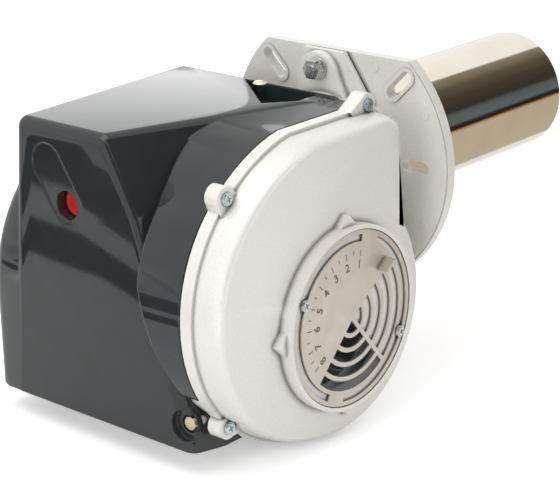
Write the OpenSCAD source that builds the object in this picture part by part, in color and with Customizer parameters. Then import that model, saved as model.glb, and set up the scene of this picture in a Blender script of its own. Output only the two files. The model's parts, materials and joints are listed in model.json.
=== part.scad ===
// Oil burner of the small pressure-jet kind, in millimetres.
// Origin: on the axis of the blast tube, in the flange's face towards the boiler.
// +Y runs along the blast tube, +X points to the air intake, +Z is up.

/* [Blast tube] */
// Outer diameter of the blast tube
tube_d = 90; // [80:1:96]
// Length of the blast tube beyond the flange
tube_l = 210; // [150:5:260]
// Wall of the blast tube
tube_wall = 1.2; // [0.8:0.1:2]

/* [Mounting flange] */
// Radius of the flange
flange_r = 97.5; // [94:0.5:106]
// Thickness of the flange
flange_t = 8.5; // [6:0.5:12]
// Height of the flange's flat top above the tube axis
flange_flat_z = 73.5; // [72:0.5:80]
// Width of the bolt slots
slot_w = 9; // [7:0.5:10]
// End-to-end length of the bolt slots
slot_l = 26; // [20:1:28]
// Radius from the axis to the middle of each bolt slot
slot_mid_r = 79.5; // [78:0.5:81]
// Distance from the axis to the middle of each side slot
side_slot_x = 69.5; // [67:0.5:72]
// Height of the clamping stud above the tube axis
stud_z = 62; // [61:0.5:63]
// Sideways place of the clamping stud
stud_x = -5; // [-7:0.5:-3]
// Diameter of the clamping stud
stud_d = 8; // [6:1:8]

/* [Fan casing] */
// Y place of the fan axis
fan_y = -108; // [-110:1:-106]
// Z place of the fan axis
fan_z = -75; // [-77:1:-73]
// Smallest radius of the scroll, at its tongue
scroll_r0 = 88.5; // [86:0.5:92]
// Largest radius of the scroll, before its outlet
scroll_r1 = 130.5; // [127:0.5:133]
// Height of the scroll's flat top above the fan axis
scroll_top = 127.5; // [125:0.5:129]
// Distance from the fan axis to the scroll's upright outlet side
scroll_side = 70; // [68:0.5:72]
// X of the inner wall of the fan casing
casing_x = 20.5; // [20.5:0.5:23]
// X of the back of the casing's rim
rim_x = 56; // [54:0.5:58]
// Thickness of each of the two rims
rim_t = 5.5; // [4:0.5:7]
// Wall of the castings
cast_wall = 3.2; // [2.5:0.1:4]
// Height of the cover's dome above its rim
dome_h = 19; // [16:1:22]
// How far the dome's face lies inside the rim
dome_inset = 7; // [5:0.5:9]

/* [Air damper] */
// Radius of the damper disc
disc_r = 60; // [57:0.5:62]
// Thickness of the damper disc
disc_t = 1.5; // [1:0.1:2]
// Height of the round collar above the dome's face
collar_h = 9; // [7:0.5:12]
// Radius of the rim slots' middle line
rim_slot_r = 54.5; // [53.5:0.5:55]
// Width of the rim slots
rim_slot_w = 4.6; // [4.6:0.1:5]
// Number of grille bars
bar_n = 4; // [3:1:5]

/* [Fan and motor] */
// Radius of the fan wheel
fan_r = 64; // [58:1:68]
// Width of the fan wheel
fan_w = 44; // [36:1:48]
// Number of fan blades
blade_n = 36; // [24:2:44]
// Radius of the motor's body
motor_r = 45; // [40:1:46]
// Length of the motor's body
motor_l = 76; // [68:1:80]
// Diameter of the motor shaft
shaft_d = 12; // [10:0.5:13]
// Side of the pump's square body
pump_w = 52; // [44:1:56]
// Length of the pump's body
pump_l = 40; // [34:1:42]

/* [Hood] */
// Y of the hood's front face
hood_y = -216; // [-220:1:-214]
// Y of the hood's open back
hood_back_y = -50.5; // [-54:0.5:-50.5]
// Z of the hood's top
hood_top = 54; // [53:0.5:56]
// Z of the hood's bottom edge
hood_bottom = -147; // [-150:0.5:-145]
// X of the left side of the hood's round shoulder
shoulder_x = -140; // [-144:1:-138]
// Radius of the hood's round shoulder about the fan axis
shoulder_r = 110; // [106:0.5:112]
// Wall of the hood
hood_wall = 2.6; // [2:0.1:3.2]
// Radius of the hood's edges
hood_edge = 8; // [6:0.5:10]
// X of the reset opening
reset_x = -57.5; // [-62:0.5:-55]
// Z of the reset opening
reset_z = 0.5; // [-2:0.5:2]
// Radius of the reset opening
reset_r = 10; // [9:0.25:11]
// Travel of the reset button
reset_travel = 2.5; // [1.5:0.5:3]

/* [Firing head] */
// Radius of the nozzle line
line_r = 5; // [4:0.5:6]
// Y of the nozzle's tip
nozzle_y = 188; // [140:1:200]
// Radius of the flame disc
flame_disc_r = 38; // [34:0.5:41]

/* [Hidden] */
$fn = 96;

gap = 0.3;        // between a moving face and its seat
fit = 0.1;        // between a fixed piece and its hole
run = 0.05;       // between a shaft and its bore
soft_fn = 32;     // facets of the shapes that hull() blends
rim_x1 = rim_x + rim_t;
rim_x2 = rim_x1 + rim_t;
dome_x = rim_x2 + dome_h;
web_x = dome_x + collar_h - 4;
disc_x = web_x + gap + 2;
lip_x = disc_x + disc_t + 0.6;
tube_r = tube_d / 2;
tube_in = tube_r - tube_wall;
neck_r = tube_in - 2.8;
neck_out = neck_r + cast_wall + 1.8;
neck_y = -50;
seal_t = 1.5;
seat_y = -flange_t - seal_t;
lug_t = 12;
lug_y = seat_y - lug_t;
lug_step_y = seat_y - 5;
washer_t = 1.6;
nut_t = 6.5;
nut_af = 13;
tube_seat = 2;    // the blast tube sinks this far into the flange's face
tube_lead = 0.4;  // and tapers by this much as it does
motor_x1 = casing_x - gap / 3;
motor_x0 = motor_x1 - motor_l;
bracket_l = 20;
bracket_x0 = motor_x0 - bracket_l;
pump_x0 = bracket_x0 - pump_l;
shaft_r = shaft_d / 2;
hub_x0 = casing_x + cast_wall + 3;
fan_x1 = hub_x0 + fan_w;
screw_r = 2;
plate_z = -20;
plate_t = 2;
box_front = -190;
button_front = hood_y + 8;
closed_from = -51;   // the fixed web closes half of the intake, from this angle up
grille_from = -137;  // the disc's grille half starts at this angle
slot_from = 79;      // the left rim slot starts at this angle
slot_bridge = 17;  // the angle of metal left between the two rim slots
ears = [[-196.5, 24.5, 138], [-200.5, -128.2, 215], [-57, 54.5, 62]];
electrode_as = [55, 125];
electrode_r = 15.5;
holder_y = nozzle_y - 52;
lead_holes = [[-8, 17], [-22, 4]];
lead_r = 2.8;
plunger_r = 5;
sensor_x = -27;
sensor_z = -11.5;
case_d = hood_wall + 0.4;     // the casing lies this far inside the rim
case_front = hood_y + 8;
post_x = -33;
post_y = -51;
post_z = 37;
post_r = 5.5;
boss_x = 42;
boss_y = -204;
boss_z = -129;
boss_r = 6;
screw_angles = [154, 334];
ear_head = 4.3;
fix_angles = [90, 210, 330];
spigot_l = 14;
alu = "#DEDCD6";
zinc = "#C8D4DA";
steel = "#B9B6AF";

// Extrudes a (y, z) drawing along X
module on_x(x0, x1) {
    translate([x0, 0, 0]) rotate([90, 0, 90]) linear_extrude(x1 - x0) children();
}

// Extrudes an (x, z) drawing along Y
module on_y(y0, y1) {
    translate([0, y1, 0]) rotate([90, 0, 0]) linear_extrude(y1 - y0) children();
}

module rod_x(x0, x1, y, z, r) {
    translate([x0, y, z]) rotate([0, 90, 0]) cylinder(r = r, h = x1 - x0);
}

module rod_y(y0, y1, x, z, r) {
    translate([x, y0, z]) rotate([-90, 0, 0]) cylinder(r = r, h = y1 - y0);
}

module fan_rod(x0, x1, r) {
    rod_x(x0, x1, fan_y, fan_z, r);
}

module fan_ring(x0, x1, r_out, r_in) {
    difference() {
        fan_rod(x0, x1, r_out);
        fan_rod(x0 - 1, x1 + 1, r_in);
    }
}

module stadium(l, w) {
    square([l - w, w], center = true);
    for (s = [-1, 1]) translate([s * (l - w) / 2, 0]) circle(r = w / 2, $fn = 48);
}

// A rounded rectangle from exact circles and squares
module soft_rect(x0, z0, x1, z1, r) {
    translate([x0 + r, z0]) square([x1 - x0 - 2 * r, z1 - z0]);
    translate([x0, z0 + r]) square([x1 - x0, z1 - z0 - 2 * r]);
    for (x = [x0 + r, x1 - r], z = [z0 + r, z1 - r]) translate([x, z]) circle(r = r, $fn = 48);
}

// A pie slice between two angles
module slice(r, a0, a1) {
    n = 12;
    polygon(concat([[0, 0]], [for (i = [0:n]) let (a = a0 + (a1 - a0) * i / n)
        2 * r * [cos(a), sin(a)]]));
}

// The scroll's outline about the fan axis, drawn in by d
function soft_min(a, b) = pow(pow(a, -18) + pow(b, -18), -1 / 18);
function spiral(a) = a > 270 ? scroll_r0 : a > 135 ?
    (scroll_r0 + scroll_r1) / 2 + (scroll_r1 - scroll_r0) / 2 * cos((a - 135) / 135 * 180) : scroll_r1;
tongue = acos(scroll_side / scroll_r0);
function scroll_r(a, d) = a < 95 ?
    (a > 89 ? (scroll_top - d) / sin(a) : soft_min((scroll_top - d) / sin(a), (scroll_side - d) / cos(a))) :
    min(spiral(a) - d, a < 180 ? (scroll_top - d) / sin(a) : 1000);
function scroll_pts(d) = [for (i = [0:89]) let (a = tongue + 4 * i) let (r = scroll_r(a, d))
    [fan_y + r * cos(a), fan_z + r * sin(a)]];

module scroll(d) {
    polygon(scroll_pts(d));
}

// A closed skin through rings of (y, z) points, each at its own x
module skin(xs, rings) {
    n = len(rings[0]);
    k = len(xs);
    pts = [for (i = [0:k - 1], p = rings[i]) [xs[i], p[0], p[1]]];
    sides = [for (i = [0:k - 2], j = [0:n - 1]) let (a = i * n + j, b = i * n + (j + 1) % n)
        [a, a + n, b + n, b]];
    polyhedron(pts, concat([[for (j = [0:n - 1]) j]], sides, [[for (j = [n - 1:-1:0]) (k - 1) * n + j]]));
}

// The dome rises upright and turns over a soft shoulder into its flat face
function dome_xs(x0, x1, n) = concat([x0],
    [for (i = [0:n]) x0 + (x1 - x0) * (0.35 + 0.65 * sin(90 * i / n))]);
function dome_ds(d0, d1, n) = concat([d0],
    [for (i = [0:n]) d0 + 1 + (d1 - d0 - 1) * (1 - cos(90 * i / n))]);

module dome(x0, x1, d0, d1, n) {
    skin(dome_xs(x0, x1, n), [for (d = dome_ds(d0, d1, n)) scroll_pts(d)]);
}

// A tube swept along points, with eight sides
function unit(v) = v / norm(v);
function way(p, i) = unit(i == 0 ? p[1] - p[0] : i == len(p) - 1 ? p[i] - p[i - 1] : p[i + 1] - p[i - 1]);
function across(t) = unit(cross(t, abs(t[2]) > 0.9 ? [1, 0, 0] : [0, 0, 1]));
function carry(p, u, i = 0) = i == len(p) ? [] :
    let (t = way(p, i), w = unit(u - t * (u * t))) concat([w], carry(p, w, i + 1));

module hose(p, r) {
    k = len(p);
    us = carry(p, across(way(p, 0)));
    pts = [for (i = [0:k - 1]) let (u = us[i], v = cross(way(p, i), u))
        for (a = [0:45:315]) p[i] + r * (u * cos(a) + v * sin(a))];
    sides = [for (i = [0:k - 2], j = [0:7]) let (a = i * 8 + j, b = i * 8 + (j + 1) % 8)
        [a, a + 8, b + 8, b]];
    polyhedron(pts, concat([[for (j = [0:7]) j]], sides, [[for (j = [7:-1:0]) (k - 1) * 8 + j]]));
}

// Points of a smooth curve through three guide points
function bend(a, b, c, n = 8) = [for (i = [0:n]) let (t = i / n)
    a * (1 - t) * (1 - t) + b * 2 * t * (1 - t) + c * t * t];

module at_slots() {
    for (a = [45:90:315]) rotate(a) translate([slot_mid_r, 0]) children();
}

// The three places where the blast tube is screwed to the flange's spigot
module at_fixings() {
    for (a = fix_angles) rotate([0, a, 0]) translate([0, spigot_l / 2, 0]) children();
}

module flange_outline(r) {
    intersection() {
        circle(r = r, $fn = 180);
        translate([-r, -r]) square([2 * r, r + flange_flat_z]);
    }
}

// The flange's plate with its raised slot rims and the round seat for the tube
module flange_plate() {
    lip = 2.4;
    difference() {
        union() {
            on_y(-flange_t + 1, 0) flange_outline(flange_r);
            on_y(-flange_t, -flange_t + 1) flange_outline(flange_r - 1);
            on_y(-flange_t - 1.2, -flange_t) at_slots() stadium(slot_l + 2 * lip, slot_w + 2 * lip);
        }
        rod_y(-tube_seat, 1, 0, 0, tube_r + fit);
        on_y(-flange_t - 2, 1) at_slots() stadium(slot_l, slot_w);
        on_y(-flange_t - 2, 1) for (s = [-1, 1]) translate([s * side_slot_x, 0]) stadium(slot_l - 2, slot_w);
    }
}

module mounting_flange() {
    color(alu) difference() {
        union() {
            flange_plate();
            rod_y(-tube_seat - 1, spigot_l, 0, 0, tube_in - fit);
        }
        rod_y(-flange_t - 2, spigot_l + 1, 0, 0, neck_r);
        rod_y(-flange_t - 2, 1, stud_x, stud_z, stud_d / 2 + run);
        at_fixings() cylinder(r = screw_r + run, h = tube_d, $fn = 32);
    }
}

module neck_seal() {
    color("#8A867C") on_y(seat_y, -flange_t) difference() {
        circle(r = neck_out);
        circle(r = neck_r);
    }
}

module blast_tube() {
    color(steel) difference() {
        union() {
            rod_y(0, tube_l, 0, 0, tube_r);
            translate([0, -tube_seat, 0]) rotate([-90, 0, 0])
                cylinder(r1 = tube_r - tube_lead, r2 = tube_r, h = tube_seat);
        }
        rod_y(-tube_seat - 1, tube_l + 1, 0, 0, tube_in);
        at_fixings() cylinder(r = screw_r + run, h = tube_d, $fn = 32);
    }
}

module tube_screws() {
    color(zinc) at_fixings() translate([0, 0, neck_r])
        cylinder(r = screw_r, h = tube_r - neck_r - 0.2, $fn = 32);
}

module clamp_stud() {
    color(zinc) rod_y(lug_y - washer_t - nut_t - 1.2, -0.5, stud_x, stud_z, stud_d / 2);
}

module clamp_washer() {
    color(zinc) on_y(lug_y - washer_t, lug_y) translate([stud_x, stud_z]) difference() {
        circle(r = stud_d);
        circle(r = stud_d / 2 + run);
    }
}

module clamp_nut() {
    color(zinc) on_y(lug_y - washer_t - nut_t, lug_y - washer_t) translate([stud_x, stud_z]) difference() {
        circle(r = nut_af / sqrt(3), $fn = 6);
        circle(r = stud_d / 2 + run);
    }
}

// An ear for a rim screw: a round pad that runs back into the rim
module ear(e) {
    r = 8;
    side = r - 0.4;
    translate([e[0], e[1]]) {
        circle(r = r, $fn = 48);
        rotate(e[2] + 180) translate([0, -side]) square([14, 2 * side]);
        rotate(e[2] + 150) translate([0, -side]) square([16, side]);
    }
}

module rim_outline() {
    scroll(0);
    for (e = ears) ear(e);
}

module at_motor_screws() {
    for (a = [45:90:315]) translate([0, fan_y + 30 * cos(a), fan_z + 30 * sin(a)]) children();
}

module at_bracket_screws() {
    for (a = [0:120:240]) translate([0, fan_y + 24 * cos(a), fan_z + 24 * sin(a)]) children();
}

module at_damper_screws() {
    for (a = screw_angles) translate([0, fan_y + rim_slot_r * cos(a), fan_z + rim_slot_r * sin(a)])
        children();
}

module ear_holes(x0, x1, r) {
    for (e = ears) rod_x(x0, x1, e[0], e[1], r);
}

// The lug under the clamp nut: a sloped base, and a round-topped block on it
module lug_base() {
    polygon([[-30, 38], [36, 38], [11, flange_flat_z], [-24, flange_flat_z]]);
}

module lug_face() {
    r = 17;
    low = [stud_x - 2.5, stud_z - 6];
    translate(low) circle(r = r);
    polygon([low + [0.5 - r, -18], low + [26.5, -18], low + [16, 4], low + [0.5 - r, 0]]);
}

// The casing's outline keeps behind the hood's front wall
module case_outline(d) {
    polygon([for (p = scroll_pts(case_d + d)) [max(p[0], case_front + d), p[1]]]);
}

module fan_casing() {
    inner = case_d + cast_wall;
    duct_z0 = -40;
    duct_z1 = 44;
    duct_y = -38;
    color(alu) difference() {
        union() {
            on_x(casing_x, rim_x + 1) case_outline(0);
            on_x(rim_x, rim_x1) rim_outline();
            rod_y(neck_y, seat_y, 0, 0, neck_out);
            on_y(neck_y, duct_y) soft_rect(10, duct_z0, rim_x, duct_z1, 6);
            on_y(lug_step_y, seat_y) lug_base();
            on_y(lug_y, lug_step_y + 1) lug_face();
            translate([post_x, post_y, 0]) cylinder(r = post_r, h = post_z);
            rod_y(boss_y, boss_y + 22, boss_x, boss_z, boss_r);
            fan_rod(casing_x - 0.01, casing_x + cast_wall, 34);
        }
        on_x(casing_x + cast_wall, rim_x1 + 1) case_outline(cast_wall);
        on_x(rim_x + 2.5, rim_x1 + 1) scroll(inner);
        rod_y(neck_y + cast_wall, seat_y + 1, 0, 0, neck_r);
        on_y(neck_y + cast_wall, duct_y - cast_wall)
            soft_rect(casing_x + cast_wall, duct_z0 + 6, rim_x - cast_wall, duct_z1 - 6, 4);
        rod_y(neck_y - 1, 0, 0, 0, line_r + fit);
        rod_y(neck_y - 1, 0, sensor_x, sensor_z, 7 + fit);
        for (h = lead_holes) rod_y(neck_y - 1, 0, h[0], h[1], lead_r + 0.8);
        rod_y(lug_y - 1, 0, stud_x, stud_z, stud_d / 2 + 0.4);
        ear_holes(rim_x - 1, rim_x1 + 1, screw_r + run);
        fan_rod(casing_x - 1, casing_x + 10, 20);
        at_motor_screws() rod_x(casing_x - 1, casing_x + 10, 0, 0, screw_r + run);
        rod_y(boss_y - 1, boss_y + 14, boss_x, boss_z, screw_r + run);
        translate([post_x, post_y, post_z - 12]) cylinder(r = screw_r + run, h = 20, $fn = 32);
    }
}

module collar_outline(r, tip) {
    circle(r = r);
    rotate(45) square(tip * sqrt(2), center = true);
}

module volute_cover() {
    collar_r = disc_r + 3.5;
    inner = cast_wall + 2.5;
    color(alu) difference() {
        union() {
            on_x(rim_x1, rim_x2 - 2) scroll(0);
            on_x(rim_x1, rim_x2) for (e = ears) ear(e);
            dome(rim_x2 - 2.01, dome_x, 2.5, dome_inset + 2, 6);
            on_x(dome_x - 4, web_x + 1) translate([fan_y, fan_z]) collar_outline(collar_r, disc_r + 11);
            on_x(dome_x - 4, lip_x) translate([fan_y, fan_z]) circle(r = collar_r);
        }
        dome(rim_x1 - 1, dome_x - cast_wall, inner, dome_inset + 4, 2);
        fan_rod(dome_x - 8, web_x, rim_slot_r - rim_slot_w / 2 - 1.6);
        fan_rod(web_x + 2, lip_x + 1, disc_r + 0.5);
        on_x(web_x - 1, web_x + 3) translate([fan_y, fan_z]) intersection() {
            circle(r = rim_slot_r - rim_slot_w / 2 - 1.6);
            slice(disc_r, closed_from + 180, closed_from + 360);
        }
        ear_holes(rim_x1 - 1, rim_x2 + 1, screw_r + run);
        ear_holes(rim_x2, dome_x + 1, ear_head + 0.7);
        at_damper_screws() rod_x(web_x - 6, web_x + 3, 0, 0, screw_r + run);
    }
}

// Pan-head screws with a cross recess
module pan_screw_x(x, y, z, head, l) {
    difference() {
        union() {
            rod_x(x - l, x, y, z, screw_r);
            rod_x(x, x + 1.6, y, z, head);
            rod_x(x + 1.6, x + 2.4, y, z, head - 0.8);
        }
        for (a = [20, 110]) translate([x + 1.9, y, z]) rotate([a, 0, 0])
            cube([2, head * 1.1, 0.9], center = true);
    }
}

module volute_screws() {
    color(zinc) for (e = ears) pan_screw_x(rim_x2, e[0], e[1], ear_head, 2 * rim_t - 1);
}

module damper_screws() {
    color(zinc) at_damper_screws() pan_screw_x(disc_x + disc_t + gap, 0, 0, 3.9, 6);
}

// The disc: a solid half with a scale, and a half cut into a grille of arcs
module damper_disc() {
    bar = 3.2;
    first_r = 10;
    last_r = rim_slot_r - rim_slot_w / 2 - 3;
    pitch = (last_r - first_r) / bar_n;
    color("#CFC8BC") difference() {
        union() {
            fan_rod(disc_x, disc_x + disc_t, disc_r);
            translate([0, fan_y, fan_z]) rotate([38, 0, 0])
                translate([disc_x + disc_t - 0.01, 37, 4.5]) cube([9, 11, 1.5]);
        }
        on_x(disc_x - 1, disc_x + disc_t + 1) translate([fan_y, fan_z]) {
            for (k = [0, 1]) intersection() {
                difference() {
                    circle(r = rim_slot_r + rim_slot_w / 2);
                    circle(r = rim_slot_r - rim_slot_w / 2);
                }
                slice(disc_r, slot_from + 180 * k, slot_from + 180 * (k + 1) - slot_bridge);
            }
            difference() {
                for (i = [0:bar_n]) intersection() {
                    difference() {
                        circle(r = i == 0 ? first_r : first_r + pitch * i);
                        circle(r = i == 0 ? 0.01 : first_r + pitch * (i - 1) + bar);
                    }
                    slice(disc_r, grille_from + 3, grille_from + 174);
                }
                rotate(-51) translate([0, -bar / 2]) square([disc_r, bar]);
                rotate(38) translate([34, -2]) square([18, 16]);
            }
        }
    }
}

module fan_wheel() {
    ring_in = fan_r - 10;
    color(zinc) difference() {
        union() {
            fan_rod(hub_x0, hub_x0 + 1.6, fan_r);
            fan_rod(hub_x0, hub_x0 + 22, 11);
            fan_ring(fan_x1 - 2, fan_x1, fan_r, ring_in);
            on_x(hub_x0 + 1, fan_x1 - 1) translate([fan_y, fan_z]) for (i = [0:blade_n - 1])
                rotate(i * 360 / blade_n) polygon([[ring_in, 0], [ring_in + 5, 1.2], [fan_r - 0.4, 4.6],
                    [fan_r - 0.6, 5.9], [ring_in + 4.6, 2.4], [ring_in, 1]]);
        }
        fan_rod(hub_x0 - 1, hub_x0 + 40, shaft_r + run);
    }
}

module motor_body() {
    fin_n = 24;
    color("#9EA2A4") difference() {
        union() {
            fan_rod(motor_x0 + 8, motor_x1 - 8, motor_r - 3);
            fan_rod(motor_x1 - 8, motor_x1, motor_r);
            fan_rod(motor_x0, motor_x0 + 8, motor_r);
            on_x(motor_x0 + 7, motor_x1 - 7) translate([fan_y, fan_z]) for (i = [0:fin_n - 1])
                rotate(i * 360 / fin_n + 7.5) translate([motor_r - 4, -0.9]) square([3.5, 1.8]);
            fan_rod(motor_x1 - 1, casing_x + cast_wall - 0.4, 20 - fit);
        }
        fan_rod(motor_x0 - 1, casing_x + 10, shaft_r + run);
        at_motor_screws() rod_x(motor_x1 - 8, motor_x1 + 1, 0, 0, screw_r + run);
    }
}

module motor_screws() {
    color(zinc) at_motor_screws() pan_screw_x(casing_x + cast_wall, 0, 0, 3.6, cast_wall + 6);
}

module motor_shaft() {
    color(steel) fan_rod(motor_x0 - 8, hub_x0 + 26, shaft_r);
}

cap_r = 15;
cap_a = 190;
cap_y = fan_y + (motor_r + cap_r + 1) * cos(cap_a);
cap_z = fan_z + (motor_r + cap_r + 1) * sin(cap_a);

module capacitor() {
    color("#D8D4C8") {
        rod_x(motor_x0 + 14, motor_x1 - 12, cap_y, cap_z, cap_r);
        rod_x(motor_x0 + 11, motor_x0 + 14, cap_y, cap_z, cap_r - 4);
    }
}

module capacitor_clip() {
    mid = (motor_x0 + motor_x1) / 2;
    color(zinc) on_x(mid - 5, mid + 5) difference() {
        union() {
            translate([cap_y, cap_z]) circle(r = cap_r + 1.4);
            translate([fan_y, fan_z]) rotate(cap_a) translate([motor_r + 0.2, -5]) square([6, 10]);
        }
        translate([cap_y, cap_z]) circle(r = cap_r + fit);
        translate([fan_y, fan_z]) circle(r = motor_r - 0.4);
    }
}

module pump_bracket() {
    color(alu) difference() {
        union() {
            fan_rod(bracket_x0, motor_x0, 30);
            on_x(bracket_x0, bracket_x0 + 4) translate([fan_y, fan_z]) square(pump_w, center = true);
        }
        fan_rod(bracket_x0 - 1, motor_x0 + 1, 19);
        at_bracket_screws() rod_x(motor_x0 - 21, motor_x0 + 1, 0, 0, screw_r + run);
    }
}

module drive_coupling() {
    color("#2A2A2C") difference() {
        fan_rod(bracket_x0 + 3.5, motor_x0 - 1, 11);
        fan_rod(motor_x0 - 9, motor_x0, shaft_r + run);
        fan_rod(bracket_x0, motor_x0 - 10, 4 + run);
    }
}

module pump_body() {
    color("#A9ACAE") difference() {
        union() {
            on_x(pump_x0 + 4, bracket_x0) translate([fan_y, fan_z])
                soft_rect(-pump_w / 2, -pump_w / 2, pump_w / 2, pump_w / 2, 5);
            fan_rod(pump_x0, pump_x0 + 5, pump_w / 2 - 4);
            fan_rod(bracket_x0 - 1, bracket_x0 + 3, 16);
            rod_y(fan_y + pump_w / 2 - 1, fan_y + pump_w / 2 + 8, pump_x0 + 20, fan_z - 14, 7);
            rod_y(fan_y + pump_w / 2 - 1, fan_y + pump_w / 2 + 8, pump_x0 + 20, fan_z + 14, 5);
        }
        fan_rod(bracket_x0 - 20, bracket_x0 + 4, 4 + run);
        rod_y(fan_y + pump_w / 2, fan_y + pump_w / 2 + 9, pump_x0 + 20, fan_z - 14, 4.5);
        rod_y(fan_y + pump_w / 2, fan_y + pump_w / 2 + 9, pump_x0 + 20, fan_z + 14, 2.2);
    }
}

module pump_shaft() {
    color(steel) fan_rod(bracket_x0 - 19, bracket_x0 + 9, 4);
}

module valve_coil() {
    x = pump_x0 + 22;
    z0 = fan_z + pump_w / 2;
    color("#26282A") difference() {
        translate([x - 14, fan_y - 14, z0]) cube([28, 28, 24]);
        translate([x, fan_y, z0 + 4]) cylinder(r = 5, h = 30);
    }
}

pipe_x = pump_x0 + 20;
pipe_y = neck_y - 7;
pipe_z = plate_z - 5;
elbow_y = neck_y - 22;

module oil_pipe() {
    p = [pipe_x, fan_y + pump_w / 2 + 3, fan_z + 14];
    c = 12;
    color("#B98A52") hose(concat([p],
        bend([pipe_x, pipe_y - c, p[2]], [pipe_x, pipe_y, p[2]], [pipe_x, pipe_y, p[2] + c], 6),
        bend([pipe_x, pipe_y, pipe_z - c], [pipe_x, pipe_y, pipe_z], [pipe_x + c, pipe_y, pipe_z], 6),
        bend([-c, pipe_y, pipe_z], [0, pipe_y, pipe_z], [0, (pipe_y + elbow_y) / 2, pipe_z], 6),
        bend([0, (pipe_y + elbow_y) / 2 - 1, pipe_z], [0, elbow_y, pipe_z], [0, elbow_y, pipe_z + 9], 6),
        [[0, elbow_y, -8 + 2]]), 2);
}

module nozzle_line() {
    color("#B79A5A") difference() {
        union() {
            rod_y(elbow_y, nozzle_y - 14, 0, 0, line_r);
            translate([-7, elbow_y - 7, -8]) cube([14, 14, 15]);
            on_y(nozzle_y - 28, nozzle_y - 10) circle(r = 9, $fn = 6);
        }
        translate([0, elbow_y, -9]) cylinder(r = 2.2, h = 8);
        rod_y(nozzle_y - 20, nozzle_y - 9, 0, 0, 5 + run);
    }
}

module line_nut() {
    color("#B79A5A") on_y(neck_y - 6, neck_y) difference() {
        circle(r = 9, $fn = 6);
        circle(r = line_r + run);
    }
}

module nozzle() {
    color("#C9A24A") difference() {
        union() {
            rod_y(nozzle_y - 20, nozzle_y - 10, 0, 0, 5);
            on_y(nozzle_y - 10, nozzle_y - 4) circle(r = 8, $fn = 6);
            translate([0, nozzle_y - 4, 0]) rotate([-90, 0, 0]) cylinder(r1 = 6, r2 = 3.5, h = 4);
        }
        rod_y(nozzle_y - 1, nozzle_y + 1, 0, 0, 0.6);
    }
}

module flame_disc() {
    cup_y = nozzle_y - 6;
    color("#7E7A74") difference() {
        union() {
            on_y(cup_y + 6, cup_y + 7.5) circle(r = flame_disc_r);
            rod_y(cup_y - 14, cup_y + 6.5, 0, 0, 12.5);
            difference() {
                rod_y(cup_y, cup_y + 7.5, 0, 0, flame_disc_r);
                rod_y(cup_y - 1, cup_y + 8.5, 0, 0, flame_disc_r - 1.5);
            }
        }
        rod_y(cup_y - 15, cup_y + 5, 0, 0, 9.1);
        rod_y(cup_y - 15, cup_y + 9, 0, 0, 8.4);
        on_y(cup_y + 5, cup_y + 9) for (a = [0:45:315]) rotate(a + 22.5) translate([24, 3]) rotate(18)
            square([17, 2.2], center = true);
        on_y(cup_y - 15, cup_y + 5.9) for (a = electrode_as) rotate(a) translate([15.5, 0]) circle(r = 5.2);
        on_y(cup_y + 5, cup_y + 9) for (a = electrode_as) rotate(a) translate([15.5, 0]) circle(r = 3.4);
    }
}

module electrode_holder() {
    color(zinc) on_y(holder_y, holder_y + 9) difference() {
        union() {
            circle(r = line_r + 4);
            for (a = electrode_as) rotate(a) {
                translate([electrode_r, 0]) circle(r = 7);
                translate([0, -4]) square([electrode_r, 8]);
            }
        }
        circle(r = line_r + run);
        for (a = electrode_as) rotate(a) translate([electrode_r, 0]) circle(r = 4 + run);
    }
}

module electrodes() {
    color("#F1EEE6") for (a = electrode_as)
        translate([electrode_r * cos(a), 0, electrode_r * sin(a)]) difference() {
        union() {
            rod_y(holder_y - 16, nozzle_y - 22, 0, 0, 4);
            rod_y(holder_y - 2, holder_y, 0, 0, 5.5);
        }
        rod_y(holder_y - 17, nozzle_y - 21, 0, 0, 1.2);
    }
}

module electrode_wires() {
    color(steel) for (a = electrode_as) let (x = electrode_r * cos(a), z = electrode_r * sin(a))
        hose(concat([[x, holder_y - 8, z], [x, nozzle_y - 6, z]],
            bend([x, nozzle_y - 2, z], [x, nozzle_y + 5, z], [x * 0.45, nozzle_y + 6, z * 0.7], 5)), 1.1);
}

transformer_x = -98;
transformer_y = -116;
terminal_x = -38;
terminal_z = 8;
function terminal_y(s) = -96 + 12 * s;

module ignition_leads() {
    color("#8F2A22") for (s = [0, 1])
        let (hx = lead_holes[s][0], hz = lead_holes[s][1], ty = terminal_y(s))
        let (x = electrode_r * cos(electrode_as[s]), z = electrode_r * sin(electrode_as[s]))
        hose(concat([[terminal_x - 1 + gap, ty, terminal_z]],
            bend([terminal_x + 4, ty, terminal_z], [hx, ty, hz], [hx, neck_y - 12 + 2 * s, hz], 6),
            [[hx, neck_y, hz], [hx, neck_y + 6, hz]],
            bend([hx, neck_y + 16, hz], [hx, 40, hz], [x, 70, z], 6),
            [[x, 90, z], [x, holder_y - 17, z]]), lead_r);
}

module ignition_transformer() {
    color("#33363A") {
        translate([transformer_x, transformer_y, plate_z + plate_t]) cube([58, 54, 58]);
        for (s = [0, 1]) difference() {
            rod_x(terminal_x - 3, terminal_x, terminal_y(s), terminal_z, 5);
            rod_x(terminal_x - 1, terminal_x + 1, terminal_y(s), terminal_z, 3);
        }
    }
}

control_base_size = [78, 56, 12];
control_at = [-98, box_front + 4, plate_z + plate_t];
control_wall = 4;
control_box_h = 46;

module control_base() {
    color("#E4E2DA") difference() {
        translate(control_at) cube(control_base_size);
        translate(control_at + control_wall * [1, 1, 1])
            cube(control_base_size - control_wall * [2, 2, 0]);
    }
}

module control_box() {
    z0 = control_at[2] + control_base_size[2];
    color("#3A3D40") difference() {
        union() {
            translate([control_at[0] + 2, control_at[1] + 2, z0])
                cube([control_base_size[0] - 4, control_base_size[1] - 4, control_box_h]);
            rod_y(box_front, -183, reset_x, reset_z, plunger_r + 1.4);
        }
        rod_y(box_front - 1, box_front + 22, reset_x, reset_z, plunger_r + run);
    }
}

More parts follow.
